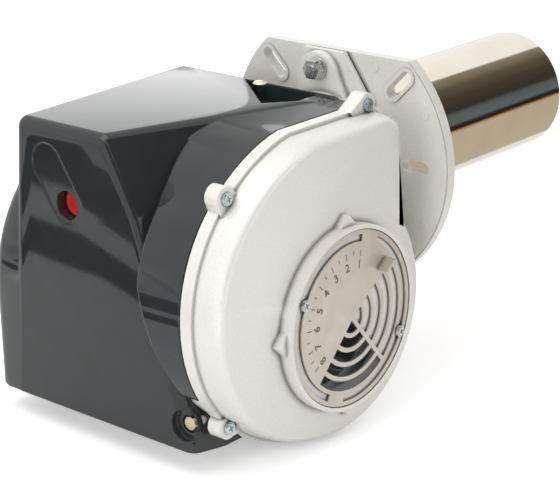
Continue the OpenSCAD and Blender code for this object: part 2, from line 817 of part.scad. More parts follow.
module reset_button() {
    color("#B02A20") {
        difference() {
            rod_y(button_front, button_front + 12, reset_x, reset_z, reset_r - 0.8);
            rod_y(button_front - 1, button_front + 0.8, reset_x, reset_z, reset_r - 2.6);
        }
        rod_y(button_front + 12, box_front + 16, reset_x, reset_z, plunger_r);
    }
}

module flame_sensor() {
    color("#2C2E30") {
        rod_y(neck_y - 11, neck_y, sensor_x, sensor_z, 10);
        rod_y(neck_y - 18, neck_y - 11, sensor_x, sensor_z, 6);
    }
    color("#9EC3D6") rod_y(neck_y, neck_y + 18, sensor_x, sensor_z, 7);
}

module chassis_plate() {
    x1 = casing_x - gap;
    y0 = -190;
    y1 = -62;
    color(zinc) difference() {
        union() {
            translate([0, 0, plate_z]) linear_extrude(plate_t)
                polygon([[-100, y0], [-4, y0], [x1, y0 + 32], [x1, y1], [-100, y1]]);
            translate([x1 - 2, y0 + 34, plate_z - 12]) cube([2, y1 - y0 - 34, 14]);
        }
        translate([-20, -120, plate_z - 1]) cube([26, 52, plate_t + 2]);
        fan_rod(x1 - 3, x1 + 1, motor_r + 1);
    }
}

// The hood: a tapered box, a fender that follows the casing, and a round shoulder
front_left_top = -105;
front_left_bottom = -122;
front_right_top = -17;
front_right_mid = 7;
front_right_bottom = rim_x - 3;
mid_z = 2;
back_left = -114;
back_right_top = 42;
past = 20;         // the hood's blocks run this far past its open back and bottom
shoulder_front = hood_y + 0.6;
shoulder_y = shoulder_front + shoulder_r;
notch_z = 40;      // floor of the recess in the top
notch_back = hood_back_y - 1.6;
step_z = hood_top - 1.6;       // floor of its shallow part, over the casing
top_boss_z = hood_top - 2.4;   // seat of the top screw
pocket_r = 11;     // of the pocket round the bottom screw
pocket_end = case_front - 0.4;
screw_seat_y = boss_y - 4;
screw_seat_r = 6.2;

module hood_core(d) {
    e = hood_edge;
    y0 = hood_y + e;
    y1 = hood_back_y + past;
    z0 = hood_bottom - past;
    z1 = hood_top - e;
    hull() for (p = [[front_left_top + e, y0, z1], [front_right_top - e, y0, z1],
        [front_left_bottom - 3 + e, y0, z0], [front_right_bottom + 4 - e, y0, z0],
        [back_left - 2 + e, y1, z1], [back_right_top + 6 - e, y1, z1], [front_right_mid - e - 0.3, y0, mid_z],
        [front_left_bottom - 3 + e, y1, z0], [front_right_bottom + 4 - e, y1, z0]])
        translate(p) sphere(r = e - d, $fn = soft_fn);
}

// Fender side, seen from the front: its left boundary against the box
fender_side = [[-3, 60], [-1, 50], [4, 42], [12, 25], [16, 10], [17, -34], [34.5, -90], [40, -108],
    [70, -108], [70, 80], [-3, 80]];

module fender(d) {
    intersection() {
        on_x(-6, rim_x - 1 + 5 * sign(d)) scroll(d);
        translate([d, 0, -2 * d]) on_y(hood_y - 40, hood_back_y + past) polygon(fender_side);
    }
}

module shoulder(d) {
    x0 = shoulder_x + d;
    hull() for (k = [[x0, 10], [x0 + 3, 3], [x0 + 10, 0], [-100, 0]]) {
        rod_x(k[0], k[0] + 0.1, shoulder_y, fan_z, shoulder_r - d - k[1], $fn = 64);
        translate([k[0], shoulder_front + d + k[1], hood_bottom - past])
            cube([0.1, hood_back_y + past - shoulder_front - d - k[1], past]);
        translate([k[0], shoulder_y, fan_z])
            cube([0.1, hood_back_y + past - shoulder_y, shoulder_r - d - k[1] - 20]);
    }
}

// Room for the casing below the fender, as (y, z)
module casing_room() {
    polygon([[case_front - 0.4, -34], [0, -34], [0, hood_bottom - 50], [-165, hood_bottom - 50],
        [-176.2, -147], [-187.5, -137], [-205.5, -120], [case_front - 0.4, -113]]);
}

module hood_outer() {
    hood_core(0);
    fender(0);
    shoulder(0);
}

// The recess in the top, drawn out by d: deep on the left, shallow over the casing
module notch(d) {
    translate([0, 0, notch_z - d]) linear_extrude(past) intersection() {
        polygon([[-49 - 1.4 * d, hood_back_y + past], [-49 - 1.4 * d, hood_back_y - 0.4 * d],
            [6.5, -95 - 1.6 * d], [39 + d, -57 - d], [39 + d, hood_back_y + past]]);
        translate([-100, -200]) square([100 + casing_x - 2.6 + d, 200 + notch_back + 3 * d]);
    }
    translate([0, 0, step_z - d]) linear_extrude(past) polygon([[5, -94 - d], [6.5, -95 - 1.6 * d],
        [39 + d, -57 - d], [39 + d, notch_back + 3 * d], [5, notch_back + 3 * d]]);
}

// A shallow recess round the reset opening, deeper on its left
module reset_recess() {
    lean = [17.5, -25.5];      // from the middle of its upper round end to that of its lower one
    translate([reset_x - lean[0] / 2, hood_y, reset_z - lean[1] / 2]) rotate([0, 0, -1])
        on_y(-5, 0.6) rotate(atan2(lean[1], lean[0])) stadium(norm(lean) + 28, 28);
}

// The cup round the bottom screw, drawn out by d: wide in front, narrow where it passes the casing
module pocket(d) {
    rod_y(hood_y - 1, pocket_end - hood_wall + d, boss_x, boss_z, pocket_r + d);
    rod_y(pocket_end - hood_wall - 1, screw_seat_y + 4 * sign(d), boss_x, boss_z, screw_seat_r + d);
}

module hood_shell() {
    difference() {
        union() {
            difference() {
                hood_outer();
                hood_core(hood_wall);
                fender(hood_wall);
                shoulder(hood_wall);
                on_x(casing_x - 0.4, rim_x + 30) casing_room();
                rod_y(boss_y, boss_y + 30, boss_x, boss_z, boss_r + 0.4);
            }
            intersection() {
                hood_outer();
                union() {
                    notch(hood_wall);
                    pocket(hood_wall);
                }
            }
        }
        notch(0);
        pocket(0);
        translate([-200, hood_back_y, -300]) cube([400, 100, 500]);
        translate([-200, -300, hood_bottom - 100]) cube([400, 400, 100]);
    }
}

module hood() {
    color("#454A4C") difference() {
        union() {
            hood_shell();
            rod_y(hood_y + 1, button_front + 10, reset_x, reset_z, reset_r + 2);
            translate([post_x, post_y, notch_z - hood_wall])
                cylinder(r = 4.6, h = top_boss_z - notch_z + hood_wall);
        }
        reset_recess();
        rod_y(screw_seat_y - 1, boss_y + 1, boss_x, boss_z, screw_r + run);
        rod_y(hood_y - 1, button_front + 20, reset_x, reset_z, reset_r);
        translate([post_x, post_y, notch_z - 5]) cylinder(r = screw_r + run, h = 20, $fn = 32);
        translate([post_x, post_y, top_boss_z]) cylinder(r = 6.2, h = 5);
    }
}

module hood_top_screw() {
    color("#D9C9A5") {
        translate([post_x, post_y, post_z - 8]) cylinder(r = screw_r, h = top_boss_z - post_z + 9);
        translate([post_x, post_y, top_boss_z]) cylinder(r = 5.6, h = 1.4);
        translate([post_x, post_y, top_boss_z + 1.4]) cylinder(r1 = 5.6, r2 = 4.2, h = 1);
    }
}

module hood_bottom_screw() {
    color("#D9C9A5") {
        rod_y(screw_seat_y - 0.5, boss_y + 12, boss_x, boss_z, screw_r);
        rod_y(screw_seat_y - 2.5, screw_seat_y, boss_x, boss_z, 4.6);
    }
}

mounting_flange();
neck_seal();
blast_tube();
tube_screws();
clamp_stud();
clamp_washer();
clamp_nut();
fan_casing();
volute_cover();
volute_screws();
damper_disc();
damper_screws();
fan_wheel();
motor_body();
motor_screws();
motor_shaft();
capacitor();
capacitor_clip();
pump_bracket();
drive_coupling();
pump_body();
pump_shaft();
valve_coil();
oil_pipe();
nozzle_line();
line_nut();
nozzle();
flame_disc();
electrode_holder();
electrodes();
electrode_wires();
ignition_leads();
ignition_transformer();
control_base();
control_box();
reset_button();
flame_sensor();
chassis_plate();
hood();
hood_top_screw();
hood_bottom_screw();
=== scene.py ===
# %% [markdown]
# # Dressing an oil burner
#
# The burner's solids come packed from CAD and stay where they are. This lesson
# gives each of them a finish, rounds their edges, adds the small marks that CAD
# leaves out, and sets up a plain studio with a camera.

# %% Load the frame
import json
import math

import bmesh
import bpy
from mathutils import Matrix, Vector

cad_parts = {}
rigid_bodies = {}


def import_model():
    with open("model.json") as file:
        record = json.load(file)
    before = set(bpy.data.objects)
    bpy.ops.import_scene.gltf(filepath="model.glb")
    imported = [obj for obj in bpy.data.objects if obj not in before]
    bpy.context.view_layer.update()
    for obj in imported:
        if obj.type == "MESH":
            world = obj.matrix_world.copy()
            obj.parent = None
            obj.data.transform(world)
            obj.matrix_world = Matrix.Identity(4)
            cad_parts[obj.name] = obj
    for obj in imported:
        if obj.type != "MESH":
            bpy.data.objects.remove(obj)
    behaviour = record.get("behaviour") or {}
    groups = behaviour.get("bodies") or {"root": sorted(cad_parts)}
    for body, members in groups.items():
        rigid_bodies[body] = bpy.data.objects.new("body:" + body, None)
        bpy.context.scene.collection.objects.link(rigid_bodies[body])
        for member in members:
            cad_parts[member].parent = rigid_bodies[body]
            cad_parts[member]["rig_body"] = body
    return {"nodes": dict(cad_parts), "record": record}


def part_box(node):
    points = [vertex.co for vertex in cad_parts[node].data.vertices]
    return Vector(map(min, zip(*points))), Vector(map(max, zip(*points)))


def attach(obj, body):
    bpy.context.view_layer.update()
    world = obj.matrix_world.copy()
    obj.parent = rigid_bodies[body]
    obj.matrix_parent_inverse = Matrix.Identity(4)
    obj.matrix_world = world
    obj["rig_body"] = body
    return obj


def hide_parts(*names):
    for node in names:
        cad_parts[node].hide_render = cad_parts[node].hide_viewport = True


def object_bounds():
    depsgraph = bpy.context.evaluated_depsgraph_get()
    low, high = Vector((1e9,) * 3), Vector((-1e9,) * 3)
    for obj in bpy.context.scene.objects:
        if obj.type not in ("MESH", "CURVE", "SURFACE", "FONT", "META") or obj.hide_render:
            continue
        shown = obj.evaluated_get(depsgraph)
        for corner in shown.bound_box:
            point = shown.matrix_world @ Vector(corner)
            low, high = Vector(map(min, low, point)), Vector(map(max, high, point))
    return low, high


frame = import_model()
cad_box = [list(v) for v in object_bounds()]
scene = bpy.context.scene
MM = 0.001
print("pieces from CAD:", len(frame["nodes"]), "box", cad_box)

# %% [markdown]
# ## Colours
#
# Finishes are written as sRGB hex colours, the way a paint chart gives them.
# Blender's sockets want linear light, so one function turns them.

# %% Colours
def linear(code):
    channels = [int(code[i:i + 2], 16) / 255 for i in (1, 3, 5)]
    return [c / 12.92 if c <= 0.04045 else ((c + 0.055) / 1.055) ** 2.4 for c in channels] + [1.0]


print("mid grey #808080 in linear light:", round(linear("#808080")[0], 3))

# %% [markdown]
# ## Adding a node
#
# A material is a graph of nodes. One small function adds a node, sets its values
# and joins its wires, which keeps every graph below short. A socket is set by its
# name, or by its number where it shares its name with another. A ramp's stops can
# be hex colours, for a tint, or plain numbers, for a roughness.

# %% Adding a node
def add(tree, kind, sets=None, stops=(), **links):
    node = tree.nodes.new("ShaderNode" + kind)
    for key, value in (sets or {}).items():
        if isinstance(key, int) or key in node.inputs:
            node.inputs[key].default_value = value
        else:
            setattr(node, key, value)
    for key, source in links.items():
        tree.links.new(source, node.inputs[key.replace("_", " ")])
    while stops and len(node.color_ramp.elements) < len(stops):
        node.color_ramp.elements.new(0.5)
    for number, (place, value) in enumerate(stops):
        element = node.color_ramp.elements[number]
        element.position = place
        element.color = linear(value) if isinstance(value, str) else (value, value, value, 1)
    return node


# %% [markdown]
# ## Grain and painted crease shade
#
# No real surface is even. Grain is a noise whose lumps have a width in millimetres,
# read from Object coordinates so that it sits still on the piece, and it can be
# stretched where rolling has drawn it out. Corners and grooves are painted darker
# with an ambient occlusion node: this is painted shade, and it is what makes a rim
# or a lug stand out on a pale casting.

# %% Grain and painted crease shade
EVEN = (1, 1, 1)
CREASE_FROM, CREASE_TO = 0.35, 0.85


def grain(tree, size_mm, detail, stretch=EVEN):
    place = add(tree, "TexCoord")
    turned = add(tree, "Mapping", {"Scale": stretch}, Vector=place.outputs["Object"])
    noise = add(tree, "TexNoise", {"Scale": 1 / (size_mm * MM), "Detail": detail},
                Vector=turned.outputs["Vector"])
    return noise.outputs["Fac"]


# Painted shade: corners and grooves, found by ambient occlusion, are darkened towards the dark colour.
def creased(tree, tint, reach_mm, dark):
    corner = add(tree, "AmbientOcclusion", {"samples": 8, "Distance": reach_mm * MM})
    openness = add(tree, "MapRange", {"From Min": CREASE_FROM, "From Max": CREASE_TO},
                   Value=corner.outputs["AO"])
    mix = add(tree, "Mix", {"data_type": "RGBA"}, Factor=openness.outputs["Result"])
    in_corner, in_open = [socket for socket in mix.inputs if socket.type == "RGBA"]
    in_corner.default_value = linear(dark)
    tree.links.new(tint, in_open)
    return [socket for socket in mix.outputs if socket.type == "RGBA"][0]


# %% [markdown]
# ## What a finish is made of
#
# Every finish here is the same few things in other amounts: a tint that wanders, a
# roughness that wanders, a fine relief, and how metallic it is. So one function
# builds the graph, and each material below only says its own amounts. tint is
# (grain in mm, detail, stops), rough is (grain in mm, detail, stretch, stops), and
# relief is (grain in mm, detail, stretch, depth in mm).

# %% What a finish is made of
def finish(name, tint, rough, relief=None, metallic=0.0, crease_shade=None, edge_mm=0.0):
    material = bpy.data.materials.new(name)
    material.use_nodes = True
    tree = material.node_tree
    shader = tree.nodes["Principled BSDF"]
    shader.inputs["Metallic"].default_value = metallic
    colour = add(tree, "ValToRGB", stops=tint[-1], Fac=grain(tree, *tint[:-1])).outputs["Color"]
    # Painted shade: the tint is darkened in corners and grooves.
    if crease_shade:
        colour = creased(tree, colour, *crease_shade)
    tree.links.new(colour, shader.inputs["Base Color"])
    spread = add(tree, "ValToRGB", stops=rough[-1], Fac=grain(tree, *rough[:-1]))
    tree.links.new(spread.outputs["Color"], shader.inputs["Roughness"])
    if relief:
        bump = add(tree, "Bump", {"Distance": relief[-1] * MM, "Strength": 1.0},
                   Height=grain(tree, *relief[:-1]))
        tree.links.new(bump.outputs["Normal"], shader.inputs["Normal"])
    if edge_mm:
        rounded = add(tree, "Bevel", {"samples": 8, "Radius": edge_mm * MM})
        tree.links.new(rounded.outputs["Normal"], bump.inputs["Normal"])
    return material


# %% [markdown]
# ## Die-cast aluminium
#
# The volute, its cover and the flange are high-pressure die castings, cleaned by
# shot blasting. The eye sees a pale, slightly warm grey that scatters light, with a
# fine pebbled grain and broad soft highlights. A full metal would mirror the studio
# too much, so the metallic share is small. The blasted grain is about 0.3 mm wide,
# too fine to show from here, so it is drawn 1 mm wide.

# %% Die-cast aluminium
# Its corners and grooves are painted darker within 6 mm, towards #66635C: painted shade.
CAST = finish("die_cast_aluminium", metallic=0.22, crease_shade=(6, "#66635C"),
              tint=(1.1, 5, [(0.3, "#DEDCD5"), (0.7, "#E8E6E1")]),
              rough=(3, 4, EVEN, [(0.25, 0.30), (0.75, 0.42)]),
              relief=(1.0, 3, EVEN, 0.07))
print("casting:", CAST.name)

# %% [markdown]
# ## Sheet metals
#
# The blast tube is bright-rolled stainless steel: a full metal, very smooth, so it
# shows the studio as long bands. Its faint roughness runs along the rolling. The
# damper disc is stamped from sheet and nickel plated. It is softer and warmer, and
# the corners round its tab and slots are painted dark, as shade. Rolling lines are
# finer than a tenth of a millimetre, and are drawn about 1 mm wide so that they show.

# %% Sheet metals
STAINLESS = finish("rolled_stainless_steel", metallic=1.0,
                   tint=(30, 2, [(0.35, "#EAE3D4"), (0.65, "#F1EADC")]),
                   rough=(1.2, 3, (1, 0.06, 1), [(0.3, 0.07), (0.7, 0.13)]))
# The disc's corners round its tab and slots are painted darker within 4 mm, towards #5E574C: painted shade.
NICKEL = finish("stamped_nickel_plate", metallic=0.7, crease_shade=(4, "#5E574C"),
                tint=(14, 3, [(0.3, "#CCC5B8"), (0.7, "#D5CFC3")]),
                rough=(0.8, 3, (1, 1, 0.08), [(0.3, 0.34), (0.7, 0.46)]),
                relief=(0.7, 2, (1, 1, 0.05), 0.008))
print("sheet metals:", STAINLESS.name, NICKEL.name)

# %% [markdown]
# ## Plated and bare small parts
#
# Screws and brackets are zinc plated: a passivated film gives them a cloudy tint,
# blue, clear or yellow, over bright steel. Shafts are ground and bare, the nozzle's
# fittings are turned brass, and the flame disc is steel that heat has browned. They
# share one grain and differ in tint.

# %% Plated and bare small parts
def plated(name, cool, warm, metallic=1.0):
    return finish(name, metallic=metallic, tint=(5, 3, [(0.35, cool), (0.65, warm)]),
                  rough=(1.5, 3, EVEN, [(0.3, 0.20), (0.7, 0.34)]))


BLUE_ZINC = plated("blue_zinc_plate", "#BFD3DB", "#DFE8E9")        # pale blue, screws and plates
CLEAR_ZINC = plated("clear_zinc_plate", "#C9CCCB", "#DEDEDA")      # neutral grey, the clamp
YELLOW_ZINC = plated("yellow_zinc_plate", "#D8C69B", "#E8DDC0")    # straw yellow, the hood's screws
BARE_STEEL = plated("ground_steel", "#BDBBB6", "#D0CEC9")          # darker and even, shafts
BRASS = plated("turned_brass", "#B99552", "#CDAE6C")               # golden, the nozzle and its pipe
HEAT_STEEL = plated("heat_steel", "#6E6A66", "#8C857C")            # brown grey, the flame disc
# The fan wheel is galvanised: its zinc scatters light, so it looks pale in its dark housing.
GALVANISED = plated("galvanised_sheet", "#D6ECF4", "#E6F3F7", metallic=0.1)
print("materials so far:", len(bpy.data.materials))

# %% [markdown]
# ## The hood's plastic
#
# The hood is injection-moulded in a dark slate ABS. Its tool was polished, so the
# surface is glossy, with a faint waviness that bends the reflections. A moulding's
# edges are never sharp: a Bevel node rounds them in the shading, and each one
# catches a thin line of light.

# %% The hood's plastic
def moulded(name, dark, light, rough, relief=(0.5, 2, EVEN, 0.02), edge_mm=0.0):
    return finish(name, tint=(18, 3, [(0.3, dark), (0.7, light)]), relief=relief, edge_mm=edge_mm,
                  rough=(4, 3, EVEN, [(0.3, rough - 0.03), (0.7, rough + 0.03)]))


HOOD = moulded("polished_slate_abs", "#282C2D", "#2C3031", 0.06, relief=(9, 2, EVEN, 0.005), edge_mm=1.7)
print("hood:", HOOD.name)

# %% [markdown]
# ## Other plastics, paint and porcelain
#
# The small plastics are moulded in spark-eroded tools, which leaves them finely
# matt. Their texture is a tenth of a millimetre wide, and is drawn 0.5 mm wide so
# that it shows. The pump is machined iron under a thin lacquer, the motor is sprayed
# grey, and the electrodes are glazed porcelain. The figures are darker than the disc.

# %% Other plastics, paint and porcelain
RED = moulded("moulded_red_abs", "#C8281C", "#D23325", 0.22)                  # glossy, the button
BLACK = moulded("moulded_black_nylon", "#1E2022", "#26282A", 0.45)            # satin, the electrics
WHITE = moulded("moulded_white_pbt", "#E0DED6", "#E8E6DF", 0.40)              # satin, the plug base
SILICONE = moulded("red_silicone_rubber", "#84261F", "#93302A", 0.55)         # soft and dull, the leads
SEAL = moulded("pressed_fibre_board", "#7E7A70", "#918C82", 0.85)             # matt, the neck's seal
PUMP = moulded("machined_grey_iron", "#9A9C9D", "#AAACAD", 0.42)              # satin grey, the pump
MOTOR = moulded("grey_motor_lacquer", "#8C9092", "#989C9E", 0.38)             # even sprayed grey
PORCELAIN = moulded("glazed_porcelain", "#EDEAE2", "#F4F2EC", 0.12)           # white, looks wet
STAMPED = moulded("stamped_scale", "#5E574C", "#6B645A", 0.5)                 # dull brown grey, the figures
print("materials in all:", len(bpy.data.materials))

# %% [markdown]
# ## Which piece has which finish
#
# The CAD record names a material slot for each piece. The clamp, the small screws
# and the fan wheel share the zinc slot but not its tint, so they have their own.

# %% Which piece has which finish
FINISH_OF_SLOT = {
    "cast_aluminium": CAST, "stainless_steel": STAINLESS, "nickel_plate": NICKEL,
    "zinc_plated_steel": BLUE_ZINC, "yellow_zinc_steel": YELLOW_ZINC, "bare_steel": BARE_STEEL,
    "turned_brass": BRASS, "heat_steel": HEAT_STEEL, "glazed_ceramic": PORCELAIN,
    "pump_casting": PUMP, "motor_paint": MOTOR, "hood_plastic": HOOD, "red_plastic": RED,
    "white_plastic": WHITE, "black_plastic": BLACK, "lead_rubber": SILICONE, "seal_board": SEAL,
}
OWN_FINISH = {"clamp_stud": CLEAR_ZINC, "clamp_washer": CLEAR_ZINC, "clamp_nut": CLEAR_ZINC,
              "tube_screws": CLEAR_ZINC, "damper_screws": CLEAR_ZINC, "fan_wheel": GALVANISED}
SLOT_OF = {s["node"]: s["material_slot"] for s in frame["record"]["subparts"]}
print("slots in use:", len(set(SLOT_OF.values())))

# %% [markdown]
# ## Edges
#
# No real casting or moulding has a sharp edge, and it is the thin highlight along
# each edge that shows the part's size. Castings and mouldings are rounded by 0.5 to
# 1.5 mm, sheet metal and small parts by 0.2 mm or less.

# %% How round the edges are
ROUND_MM = {
    "mounting_flange": 0.6, "fan_casing": 0.7, "volute_cover": 0.7, "hood": 0.8,
    "damper_disc": 0.15, "pump_body": 0.8, "pump_bracket": 0.8, "motor_body": 0.5,
    "control_box": 1.5, "ignition_transformer": 1.5, "control_base": 0.6, "valve_coil": 1.0,
    "reset_button": 0.6, "capacitor": 0.8,
}
DEFAULT_ROUND_MM = 0.2
ROUND_STEPS = 3
SHARP_ANGLE = math.radians(34)
print("pieces with an edge of their own:", len(ROUND_MM))

# %% [markdown]
# ## Rounding
#
# A CAD node arrives as loose triangles with hard corners. Each one is copied, the
# triangles are merged into whole faces, and a Bevel modifier rounds the edges. The
# copy rides on the node's body, and stands for the node. A modifier keeps the width
# easy to change, and it hardens the normals, so that flat faces stay flat in light.

# %% A rounded copy for each CAD node
MERGE_MM = 0.01
FLAT_ANGLE = math.radians(0.4)


def show(mesh, name, body, material):
    for polygon in mesh.polygons:
        polygon.use_smooth = True
    piece = bpy.data.objects.new(name, mesh)
    scene.collection.objects.link(piece)
    mesh.materials.append(material)
    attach(piece, body)
    return piece


def to_mesh(bm, name):
    mesh = bpy.data.meshes.new(name)
    bm.to_mesh(mesh)
    bm.free()
    return mesh


def rounded_copy(node):
    source = frame["nodes"][node]
    bm = bmesh.new()
    bm.from_mesh(source.data)
    bmesh.ops.remove_doubles(bm, verts=bm.verts, dist=MERGE_MM * MM)
    bmesh.ops.dissolve_limit(bm, angle_limit=FLAT_ANGLE, verts=bm.verts, edges=bm.edges,
                             use_dissolve_boundaries=False)
    mesh = to_mesh(bm, "finished_" + node)
    slot = SLOT_OF[node]
    material = OWN_FINISH.get(node, FINISH_OF_SLOT[slot])
    piece = show(mesh, "finished_" + node, source["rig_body"], material)
    mesh.set_sharp_from_angle(angle=SHARP_ANGLE)
    edge = piece.modifiers.new("soft_edges", "BEVEL")
    edge.width = ROUND_MM.get(node, DEFAULT_ROUND_MM) * MM
    edge.segments = ROUND_STEPS
    edge.limit_method = "ANGLE"
    edge.angle_limit = SHARP_ANGLE
    edge.harden_normals = True
    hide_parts(node)
    return piece


finished = [rounded_copy(node) for node in sorted(frame["nodes"])]
print("rounded copies:", len(finished))

# %% [markdown]
# ## The damper's scale
#
# The disc carries a stamped scale, eight figures with ticks between, which the
# fitter sets against a mark on the cover. They are drawn flat and then turned to
# their places round the fan's axis, which the disc's own box gives.

# %% Where the scale lies
low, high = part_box("damper_disc")
FAN_Y, FAN_Z = (low.y + high.y) / 2, (low.z + high.z) / 2
DISC_T = 1.5 * MM
FACE_X = low.x + DISC_T
FIRST_DEG, STEP_DEG = 79.0, 19.1
UPRIGHT = Matrix(((0, 0, 1), (1, 0, 0), (0, 1, 0))).to_4x4()


def place_on_disc(bm, radius, degrees):
    a = math.radians(degrees)
    turn = Matrix.Rotation(a - math.pi / 2, 4, "X")
    out = Matrix.Translation((FACE_X, FAN_Y + radius * math.cos(a), FAN_Z + radius * math.sin(a)))
    bmesh.ops.transform(bm, matrix=out @ turn @ UPRIGHT, verts=bm.verts)


print("fan axis at y, z in mm:", round(FAN_Y / MM, 2), round(FAN_Z / MM, 2))

# %% [markdown]
# ## Figures
#
# Text objects make the figures. Each becomes a mesh before it is placed, because
# the export puts every object back at the origin.

# %% Figures
FIGURE_R = 36.5 * MM
FIGURE_MM, STROKE_MM, FIGURE_DEEP_MM = 8.0, 0.2, 0.06


def scale_figure(number):
    curve = bpy.data.curves.new("figure", "FONT")
    curve.body = str(number)
    curve.size = FIGURE_MM * MM
    curve.offset = STROKE_MM * MM
    curve.extrude = FIGURE_DEEP_MM * MM
    curve.align_x = "CENTER"
    curve.align_y = "CENTER"
    text = bpy.data.objects.new("figure", curve)
    scene.collection.objects.link(text)
    bpy.context.view_layer.update()
    mesh = bpy.data.meshes.new_from_object(text)
    bpy.data.objects.remove(text)
    bm = bmesh.new()
    bm.from_mesh(mesh)
    place_on_disc(bm, FIGURE_R, FIRST_DEG + STEP_DEG * (number - 1))
    return bm


figures = [scale_figure(number) for number in range(1, 9)]
print("figures:", len(figures))

# %% [markdown]
# ## Ticks
#
# A long tick stands over each figure and a short one halfway to the next. Figures
# and ticks are gathered in one mesh that rides on the disc.

# %% Ticks
TICK_IN_R, TICK_OUT_R = 42.0 * MM, 46.5 * MM
TICK_MM, TICK_DEEP_MM = 0.7, 0.12
SHORT_TICK = 0.6


def tick(step):
    bm = bmesh.new()
    bmesh.ops.create_cube(bm, size=1)
    length = (TICK_OUT_R - TICK_IN_R) * (1.0 if step % 2 == 0 else SHORT_TICK)
    bmesh.ops.scale(bm, vec=(TICK_MM * MM, length, TICK_DEEP_MM * MM), verts=bm.verts)
    place_on_disc(bm, TICK_OUT_R - length / 2, FIRST_DEG + STEP_DEG * step / 2)
    return bm


whole = bmesh.new()
for part in figures + [tick(step) for step in range(15)]:
    whole.from_mesh(to_mesh(part, "stamp"))
scale_mesh = to_mesh(whole, "damper_scale")
show(scale_mesh, "damper_scale", "damper", STAMPED)
for polygon in scale_mesh.polygons:
    polygon.use_smooth = False
print("scale marks:", len(scale_mesh.polygons), "faces")

# %% [markdown]
# ## Marks of the casting die
#
# Pins push a casting out of its die, and each leaves a faint raised disc. The
# flange carries four that can be seen beside the cover. They are thin discs made
# with the cone operator, laid on the flange's front, half sunk into it.

# %% Ejector marks on the flange
PIN_MARKS = [(35.0, 65.4), (78.2, 38.0), (60.0, -22.6), (76.6, -40.5)]    # x and z in mm
PIN_R, PIN_H = 3.1 * MM, 0.5 * MM
FLANGE_FRONT = -8.5 * MM
whole = bmesh.new()
for x, z in PIN_MARKS:
    at = Matrix.Translation((x * MM, FLANGE_FRONT, z * MM)) @ Matrix.Rotation(math.pi / 2, 4, "X")
    bmesh.ops.create_cone(whole, cap_ends=True, segments=32, radius1=PIN_R + PIN_H, radius2=PIN_R,
                          depth=PIN_H * 2, matrix=at)
marks = to_mesh(whole, "ejector_marks")
show(marks, "ejector_marks", "burner", CAST)
marks.set_sharp_from_angle(angle=SHARP_ANGLE)
print("ejector marks:", len(PIN_MARKS))

# %% [markdown]
# ## Cards for the stage
#
# The floor and the boards are flat cards: a grid of one cell, scaled and moved in
# its mesh. They belong to the stage and not to the burner.

# %% Cards for the stage
FLOOR_Z = cad_box[0][2] - 0.5 * MM


def staged(name, mesh, material):
    mesh.materials.append(material)
    obj = bpy.data.objects.new(name, mesh)
    scene.collection.objects.link(obj)
    return obj


def card_mesh(name, width, depth, place=(0, 0, 0)):
    bm = bmesh.new()
    bmesh.ops.create_grid(bm, x_segments=1, y_segments=1, size=0.5)
    bmesh.ops.scale(bm, vec=(width, depth, 1), verts=bm.verts)
    bmesh.ops.translate(bm, vec=place, verts=bm.verts)
    return to_mesh(bm, name)


print("floor at z in mm:", round(FLOOR_Z / MM, 1))

# %% [markdown]
# ## Floor
#
# The sweep is white paper. The camera sees it a little lighter than the lamps make
# it, through Light Path's Is Camera Ray, so that it stays white while the lamps are
# low enough for the pale castings. Reflections see it as the lamps light it, which
# suits the hood and the tube. It keeps the burner's shadow.

# %% Floor
FLOOR_SIDE = 8
PAPER_LIFT = 0.34
paper = bpy.data.materials.new("white_paper")
paper.use_nodes = True
tree = paper.node_tree
shader = tree.nodes["Principled BSDF"]
shader.inputs["Base Color"].default_value = linear("#F6F6F6")
shader.inputs["Roughness"].default_value = 0.9
shader.inputs["Specular IOR Level"].default_value = 0.2
shader.inputs["Emission Color"].default_value = (1, 1, 1, 1)
lift = add(tree, "Math", {"operation": "MULTIPLY", 1: PAPER_LIFT})
tree.links.new(add(tree, "LightPath").outputs["Is Camera Ray"], lift.inputs[0])
tree.links.new(lift.outputs[0], shader.inputs["Emission Strength"])
staged("floor", card_mesh("floor", FLOOR_SIDE, FLOOR_SIDE, (0, 0, FLOOR_Z)), paper)
print("floor:", FLOOR_SIDE, "m square")

# %% [markdown]
# ## Backdrop
#
# The world is the white tent round the burner. The camera, and what mirrors or
# lets light through, see it at full white. As a light it is weaker, so that the
# castings keep their grey.

# %% Backdrop
TENT_LIGHT = 0.72
world = bpy.data.worlds.new("studio")
scene.world = world
world.use_nodes = True
tree = world.node_tree
back = tree.nodes["Background"]
back.inputs["Color"].default_value = (1, 1, 1, 1)
path = add(tree, "LightPath")
seen = path.outputs["Is Camera Ray"]
for ray in ("Is Glossy Ray", "Is Transmission Ray"):
    either = add(tree, "Math", {"operation": "MAXIMUM"})
    tree.links.new(seen, either.inputs[0])
    tree.links.new(path.outputs[ray], either.inputs[1])
    seen = either.outputs[0]
level = add(tree, "MapRange", {"To Min": TENT_LIGHT, "To Max": 1.0}, Value=seen)
tree.links.new(level.outputs["Result"], back.inputs["Strength"])
print("tent lights the burner at", TENT_LIGHT)

# %% [markdown]
# ## Lamps
#
# Soft boxes shape the burner: a broad one overhead, a fill in front that lights the
# flange and the rims, a weaker one on the right for the cover, and a small one low
# at the back left, which the hood's flat top mirrors at a grazing angle. The two
# fills are kept out of reflections, so that the hood's front stays dark.

# %% Soft boxes
BURNER = (0, -0.1, 0)
FLANGE = (0, -0.05, 0)
HOOD_TOP = (-0.1875, -0.165, 0.05)


def aim(obj, place, target):
    obj.location = place
    obj.rotation_euler = (Vector(target) - Vector(place)).to_track_quat("-Z", "Y").to_euler()
    return obj


def softbox(name, place, target, width, height, watts, mirrored=True):
    lamp = bpy.data.lights.new(name, "AREA")
    lamp.shape = "RECTANGLE"
    lamp.size, lamp.size_y, lamp.energy = width, height, watts
    obj = bpy.data.objects.new(name, lamp)
    scene.collection.objects.link(obj)
    obj.visible_glossy = mirrored
    return aim(obj, place, target)


